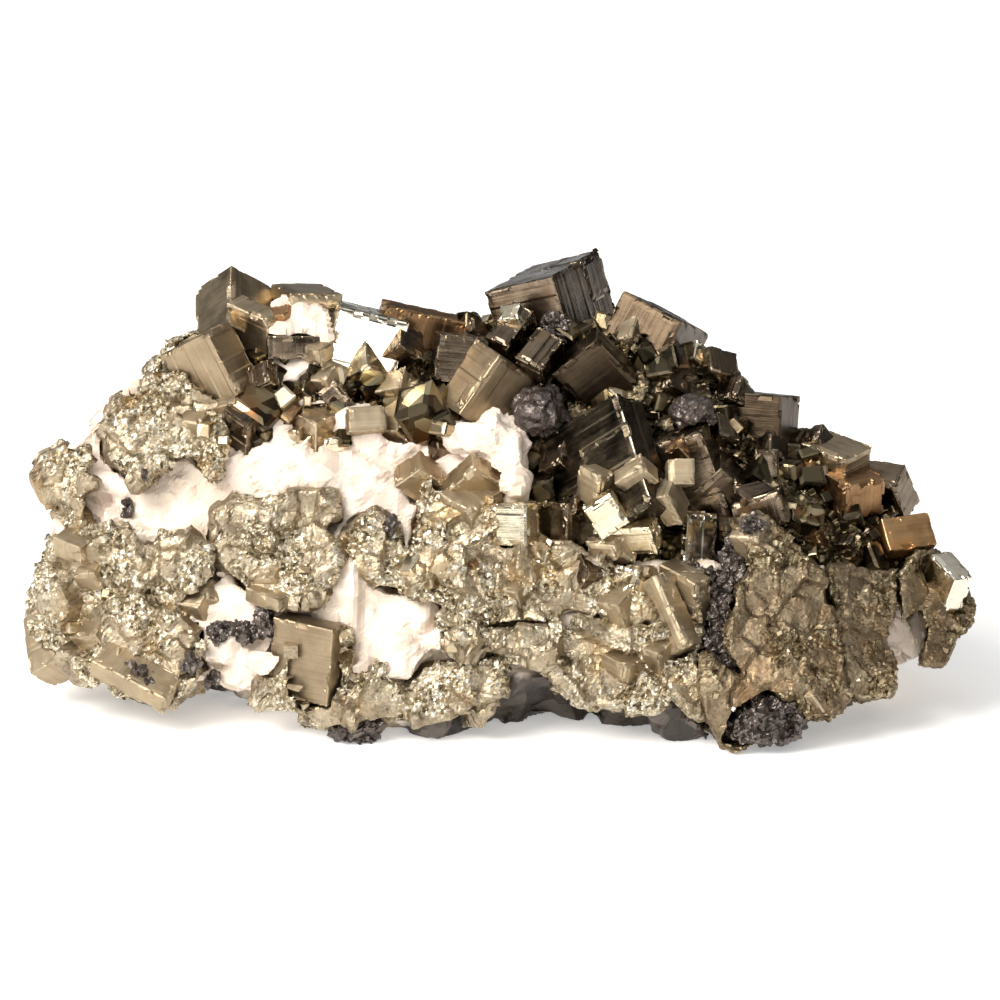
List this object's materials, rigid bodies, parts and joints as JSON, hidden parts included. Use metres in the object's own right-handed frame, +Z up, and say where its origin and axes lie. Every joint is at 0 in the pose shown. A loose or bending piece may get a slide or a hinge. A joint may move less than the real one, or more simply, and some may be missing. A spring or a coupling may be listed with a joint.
{
  "type": "pyrite crystal specimen",
  "caption": "Cluster of intergrown striated pyrite cubes and granular pyrite on a cream-white quartz rock, with dark sphalerite, that rests on a flat underside.",
  "frame": {"origin": "middle of the bounding box's bottom face, on the surface that the specimen rests on", "axes": "+Z up; +X along the longest extent, to the right as seen from the front; +Y away from the front"},
  "size_m": [0.1178, 0.0662, 0.0535],
  "materials": {
    "pyrite_brass": "polished natural crystal face, finely striated",
    "pyrite_bright": "mirror-bright natural crystal face",
    "pyrite_dark": "dark bronze tarnished crystal face, striated",
    "pyrite_tarnished": "orange-brown tarnished crystal face",
    "pyrite_granular": "coarse granular, glittering",
    "sphalerite": "violet-black resinous mineral, many small facets",
    "quartz": "cream-white sugary mineral"
  },
  "bodies": {
    "root": {"banded_cube": "pyrite_bright", "bright_square_cube": "pyrite_bright", "brown_bar": "pyrite_tarnished", "crest_cube_left": "pyrite_brass", "crest_cube_middle": "pyrite_dark", "crest_slab": "pyrite_brass", "dark_bar": "pyrite_dark", "dark_cube_lower": "pyrite_dark", "dark_cube_upper": "pyrite_dark", "foot_cube": "pyrite_brass", "front_prism": "pyrite_bright", "glare_cube": "pyrite_bright", "grey_cube": "pyrite_brass", "grey_wedge_cube": "pyrite_brass", "leaning_prism": "pyrite_brass", "lower_square_cube": "pyrite_bright", "mirror_cube": "pyrite_bright", "olive_cube": "pyrite_dark", "orange_cube": "pyrite_tarnished", "pale_topped_cube": "pyrite_brass", "pyrite_cap": "pyrite_granular", "pyrite_centre_band": "pyrite_granular", "pyrite_front_sill": "pyrite_granular", "pyrite_left_foot": "pyrite_granular", "pyrite_left_nodule": "pyrite_granular", "pyrite_left_shoulder": "pyrite_granular", "pyrite_left_tip": "pyrite_granular", "pyrite_lower_left": "pyrite_granular", "pyrite_rear_foot": "pyrite_granular", "pyrite_rear_left": "pyrite_granular", "pyrite_right_block": "pyrite_granular", "pyrite_right_end": "pyrite_granular", "pyrite_right_shelf": "pyrite_granular", "quartz_rock": "quartz", "rear_cube_large": "pyrite_brass", "rear_cube_left": "pyrite_dark", "rear_cube_middle": "pyrite_brass", "rear_cube_right": "pyrite_bright", "right_brown_cube": "pyrite_tarnished", "right_crest_cube": "pyrite_dark", "right_end_cube": "pyrite_bright", "right_shaded_cube": "pyrite_dark", "right_tan_cube": "pyrite_brass", "shoulder_cube": "pyrite_brass", "slope_bar": "pyrite_brass", "small_gold_cube": "pyrite_brass", "sphalerite_bead": "sphalerite", "sphalerite_centre": "sphalerite", "sphalerite_foot": "sphalerite", "sphalerite_right_foot": "sphalerite", "sphalerite_seam": "sphalerite", "stepped_cube_front": "pyrite_dark", "stepped_cube_rear": "pyrite_dark", "striated_cube": "pyrite_dark", "summit_cube": "pyrite_dark", "tall_blade": "pyrite_dark", "tan_cube": "pyrite_brass", "vug_block": "pyrite_dark", "vug_cube": "pyrite_dark"}
  },
  "joints": []
}
